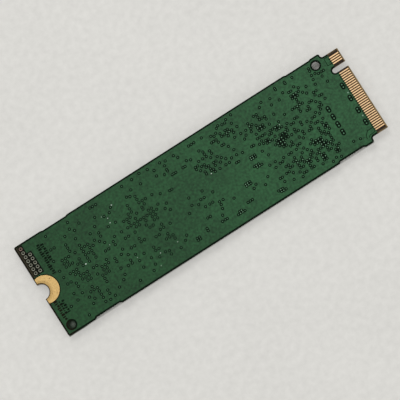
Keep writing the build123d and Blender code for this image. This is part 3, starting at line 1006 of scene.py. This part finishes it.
class CARD_OT_lane_windows(bpy.types.Operator):
    """Lay the windows round the signal pairs on the back, with two pads in each"""

    bl_idname = "card.lane_windows"
    bl_label = "Lane windows"

    def execute(self, context):
        sizes, colours = values_of(context)
        centres = [(x, y) for x, ys in LANE_WINDOWS for y in ys]
        seed = disc(sizes.window_width, -sizes.sink, sizes.ring_rise, WINDOW_SIDES, WINDOW_TOP)
        for vert in seed.verts:
            if abs(vert.co.y) > MERGE:
                vert.co.y += math.copysign(sizes.pair_gap / 2, vert.co.y)
        trim("lane_windows", laid(seed, centres), clear_finish(colours), smooth=True)
        half = sizes.pair_gap / MM / 2
        pairs = [(x, y + side * half) for x, y in centres for side in (-1, 1)]
        for name, places, tone in (
            ("lane_pads", pairs, colours.lane_pad), ("root_pads", ROOT_PADS, colours.root_pad),
        ):
            pads = laid(disc(sizes.lane_pad, -sizes.sink, sizes.pad_rise, LANE_PAD_SIDES), places)
            trim(name, pads, pad_finish(f"Mask on {name}", tone))
        return {"FINISHED"}


class CARD_OT_copper_gaps(bpy.types.Operator):
    """Draw the gaps between areas of copper, the plain bars of the two mark fields and the flecks"""

    bl_idname = "card.copper_gaps"
    bl_label = "Copper gaps and marks"

    def execute(self, context):
        sizes, colours = values_of(context)
        clear = clear_finish(colours)
        low, high = BACK - sizes.sink, BACK + sizes.ring_rise * GAP_RISE
        gaps = bmesh.new()
        for points in COPPER_GAPS:
            for start, end in zip(points, points[1:]):
                bar(gaps, start, end, sizes.gap_width, low, high)
        trim("copper_gaps", gaps, clear)

        marks = bmesh.new()
        for left, right, y, last, step in MARK_COLUMNS:
            while y < last:
                thick = BAR_THICKNESS[step % len(BAR_THICKNESS)]
                short = (right - left) * BAR_CUTS[step % len(BAR_CUTS)]
                middle = y + thick / 2
                start = (left + thick / 2 + short * (step % 2), middle)
                end = (right - thick / 2 - short * (1 - step % 2), middle)
                bar(marks, start, end, thick * MM, low, high)
                y += thick + BAR_GAPS[step % len(BAR_GAPS)]
                step += 1
        trim("mark_fields", marks, clear)

        flecks = bmesh.new()
        for x, y, size in FLECKS:
            bmesh.ops.create_icosphere(
                flecks, subdivisions=1, radius=size * MM / 2,
                matrix=on_back(x, y) @ Matrix.Diagonal(FLECK_SHAPE))
        trim("pale_flecks", flecks, plain_finish(colours, "Pale fleck"), smooth=True)
        return {"FINISHED"}


class CARD_OT_contacts(bpy.types.Operator):
    """Plate the contact fingers and the screw pads, and put dark dots of painted shade in the gaps at
    the fingers' roots
    """

    bl_idname = "card.contacts"
    bl_label = "Contacts and screw pads"

    def execute(self, context):
        sizes, colours = values_of(context)
        pad = gold_finish("Screw pad plating", colours.gold)
        for side, put in (("back", on_back), ("front", on_front)):
            dress(f"screw_pad_{side}", pad, PAD_ROUND)
            name = f"contact_fingers_{side}"
            boxes = solids_of(name)
            middles = sorted((low.y + high.y) / 2 for low, high in boxes)
            width = boxes[0][1].y - boxes[0][0].y
            pitch = middles[1] - middles[0]
            row = (middles[0], pitch, width)
            gold = gold_finish(f"Contact plating {side}", colours.contact_gold, row)
            dress(name, gold, CONTACT_ROUND)
            # Dark dots of painted shade in the gaps between the fingers' roots
            gaps = [(a + b) / 2 for a, b in zip(middles, middles[1:]) if b - a < KEY_GAP * pitch]
            x = (CONTACT_ROOT - sizes.shaded_root_dot / 2) / MM
            dot = disc(sizes.shaded_root_dot, -sizes.sink, sizes.ring_rise)
            dots = laid(dot, [(x, y / MM) for y in gaps], put)
            trim(f"root_dots_{side}", dots, clear_finish(colours))
        return {"FINISHED"}


class CARD_OT_test_points(bpy.types.Operator):
    """Give the test points round plated holes, and lay the bare ground round them"""

    bl_idname = "card.test_points"
    bl_label = "Test points"

    def execute(self, context):
        sizes, colours = values_of(context)
        boxes = solids_of("test_point_eyelets")
        low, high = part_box("test_point_eyelets")
        radius = (boxes[0][1].x - boxes[0][0].x) / 2
        inner, barrel = sizes.bore / 2, sizes.bore / 2 + sizes.barrel_wall
        lip = EYELET_LIP
        section = (
            (inner, low.z + lip), (barrel, low.z), (radius - lip, low.z), (radius, low.z + lip),
            (radius, FRONT), (barrel, FRONT), (barrel, BACK), (radius, BACK),
            (radius, high.z - lip), (radius - lip, high.z), (barrel, high.z), (inner, high.z - lip))
        spots = [Matrix.Translation(((a.x + b.x) / 2, (a.y + b.y) / 2, 0)) for a, b in boxes]
        eyelets = piece(
            "test_point_eyelets_round", repeat(spun(section, EYELET_SIDES), spots),
            test_point_finish(colours))
        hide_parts("test_point_eyelets")

        grow = sizes.ground_margin
        outer = min(b.x for _, b in boxes) + grow
        inner_top = max(b.y for a, b in boxes if a.x > outer - grow) + grow
        shape = board_face(BACK)
        cut(shape, (NOTCH_END + sizes.edge_clearance, 0, 0), (-1, 0, 0))
        cut(shape, (high.x + grow, 0, 0), (1, 0, 0))
        cut(shape, (0, low.y - grow, 0), (0, -1, 0))
        cut(shape, (0, high.y + grow, 0), (0, 1, 0))
        cut(shape, (outer, 0, 0), (1, 0, 0), drop=False)
        cut(shape, (0, inner_top, 0), (0, 1, 0), drop=False)
        centres = {f: f.calc_center_median() for f in shape.faces}
        corner = [f for f, c in centres.items() if c.x > outer and c.y > inner_top]
        bmesh.ops.delete(shape, geom=corner, context="FACES")
        ground = extruded(shape, (0, 0, sizes.ring_rise * GROUND_RISE))
        trim("test_point_ground", ground, ground_finish(colours))
        return {"FINISHED"}


class CARD_OT_packages(bpy.types.Operator):
    """Give the packages and the power chip their moulding, and seat them on round solder balls"""

    bl_idname = "card.packages"
    bl_label = "Packages"

    def execute(self, context):
        sizes, colours = values_of(context)
        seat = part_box("controller_package")[1].z
        sawn = moulding_finish("Sawn moulding", colours, seat - SAWN_SUBSTRATE)
        capped = moulding_finish("Capped moulding", colours, seat - CAPPED_SUBSTRATE)
        for name in PACKAGES:
            dress(name, capped if name == "controller_package" else sawn, sizes.edge_round)
        dress("power_chip", moulding_finish("Plain moulding", colours, BACK), sizes.edge_round)
        dress("power_chip_leads", plain_finish(colours, "Tin plating"))
        solder = plain_finish(colours, "Solder")
        for name in BALLS:
            boxes = solids_of(name)
            height = boxes[0][1].z - boxes[0][0].z
            radius = (boxes[0][1].x - boxes[0][0].x) / 2
            section = [(radius * across, height * up) for across, up in BALL_SECTION]
            spots = [
                Matrix.Translation(((low.x + high.x) / 2, (low.y + high.y) / 2, low.z))
                for low, high in boxes]
            balls = piece(f"{name}_round", repeat(spun(section, BALL_SIDES), spots), solder)
            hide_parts(name)
        return {"FINISHED"}


class CARD_OT_small_parts(bpy.types.Operator):
    """Finish the chip parts, inductors and crystal, and solder their ends to the board"""

    bl_idname = "card.small_parts"
    bl_label = "Small parts and solder"

    def execute(self, context):
        sizes, colours = values_of(context)
        tin = plain_finish(colours, "Tin plating")
        ceramic = plain_finish(colours, "Capacitor ceramic")
        bodies = {
            "chip_resistors": glazed_finish(
                "Resistor glaze", colours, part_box("chip_resistors")[0].z + RESISTOR_GLAZE),
            "input_fuse": glazed_finish("Fuse glaze", colours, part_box("input_fuse")[0].z + FUSE_GLAZE),
            "power_inductors": plain_finish(colours, "Inductor core"),
        }
        for body, ends in CHIPS:
            dress(body, bodies.get(body, ceramic), sizes.edge_round * CHIP_ROUND)
            dress(ends, tin, sizes.edge_round * CHIP_ROUND)
        dress("crystal_base", plain_finish(colours, "Dark ceramic"))
        dress("crystal_lid", plain_finish(colours, "Crystal lid"), sizes.edge_round)

        seed = bmesh.new()
        seed.faces.new([seed.verts.new((out, -0.5, up)) for out, up in FILLET_SECTION])
        extruded(seed, (0, 1, 0))
        spots = []
        for body, ends in CHIPS:
            middles = [(low + high) / 2 for low, high in solids_of(body)]
            for low, high in solids_of(ends):
                middle = (low + high) / 2
                near = min(middles, key=lambda m: (m - middle).length)
                away = middle - near
                size = high - low
                if abs(away.x) > abs(away.y):
                    turn = 0.0 if away.x > 0 else math.pi
                    reach, width = size.x / 2, size.y
                else:
                    turn = math.copysign(math.pi / 2, away.y)
                    reach, width = size.y / 2, size.x
                out = Vector((math.cos(turn), math.sin(turn), 0)) * reach
                run = min(sizes.fillet_run, FILLET_RUN * size.z)
                spots.append(
                    Matrix.Translation((middle.x + out.x, middle.y + out.y, FRONT))
                    @ Matrix.Rotation(turn, 4, "Z")
                    @ Matrix.Diagonal((run, FILLET_WIDTH * width, -FILLET_HEIGHT * size.z, 1.0)))
        piece("solder_fillets", repeat(seed, spots), plain_finish(colours, "Solder"))
        return {"FINISHED"}


class CARD_OT_stage(bpy.types.Operator):
    """Set the table, the soft light and the camera"""

    bl_idname = "card.stage"
    bl_label = "Stage"

    def execute(self, context):
        scene = context.scene
        stage = scene.card_stage
        shape = bmesh.new()
        bmesh.ops.create_grid(
            shape, x_segments=1, y_segments=1, size=TABLE_REACH,
            matrix=Matrix.Translation((0, 0, -TABLE_DROP)))
        mesh = mesh_of("table", shape)
        mesh.materials.append(table_finish(stage))
        table = placed("table", mesh)

        world = bpy.data.worlds.new("Studio")
        world.use_nodes = True
        world.node_tree.nodes["Background"].inputs["Color"].default_value = (*stage.sky, 1.0)
        scene.world = world
        lamp = bpy.data.lights.new("Soft lamp", "AREA")
        lamp.shape = "DISK"
        lamp.size = LAMP_SIZE
        lamp.energy = stage.lamp_power
        lamp_object = placed("Soft lamp", lamp)
        lamp_object.location = LAMP_PLACE
        lamp_object.rotation_euler = (-lamp_object.location).to_track_quat("-Z", "Y").to_euler()

        camera = bpy.data.cameras.new("Camera")
        camera.lens = stage.lens
        camera.sensor_width = 36.0
        camera.clip_start = 0.05
        camera_object = placed("Camera", camera)
        turn = Matrix.Rotation(stage.tilt, 4, "X") @ Matrix.Rotation(-stage.roll, 4, "Z")
        back = turn @ Vector((0, 0, 1))
        camera_object.matrix_world = Matrix.Translation(
            Vector(stage.aim) + back * stage.distance) @ turn
        scene.camera = camera_object
        scene.view_settings.view_transform = "Standard"
        return {"FINISHED"}


STEPS = (
    CARD_OT_board, CARD_OT_edge_clearance, CARD_OT_vias, CARD_OT_lane_windows, CARD_OT_copper_gaps,
    CARD_OT_contacts, CARD_OT_test_points, CARD_OT_packages, CARD_OT_small_parts, CARD_OT_stage)
GROUPS = {"card_sizes": CardSizes, "card_colours": CardColours, "card_stage": StageSettings}


class CARD_PT_panel(bpy.types.Panel):
    """Lists the card's steps and the values that they use"""

    bl_idname = "CARD_PT_panel"
    bl_label = "Drive card"
    bl_space_type = "VIEW_3D"
    bl_region_type = "UI"
    bl_category = "Drive card"

    def draw(self, context):
        column = self.layout.column()
        for step in STEPS:
            column.operator(step.bl_idname)
        for name, group in GROUPS.items():
            for value in group.__annotations__:
                column.prop(getattr(context.scene, name), value)


def register():
    """Adds the values, the steps and the panel."""
    for name, group in GROUPS.items():
        bpy.utils.register_class(group)
        setattr(bpy.types.Scene, name, bpy.props.PointerProperty(type=group))
    for made in (*STEPS, CARD_PT_panel):
        bpy.utils.register_class(made)


def unregister():
    """Takes them away again."""
    for made in (CARD_PT_panel, *reversed(STEPS)):
        bpy.utils.unregister_class(made)
    for name, group in GROUPS.items():
        delattr(bpy.types.Scene, name)
        bpy.utils.unregister_class(group)


def main():
    """Builds the card's looks step by step."""
    register()
    for step in STEPS:
        area, name = step.bl_idname.split(".")
        getattr(getattr(bpy.ops, area), name)()


if __name__ == "__main__":
    main()
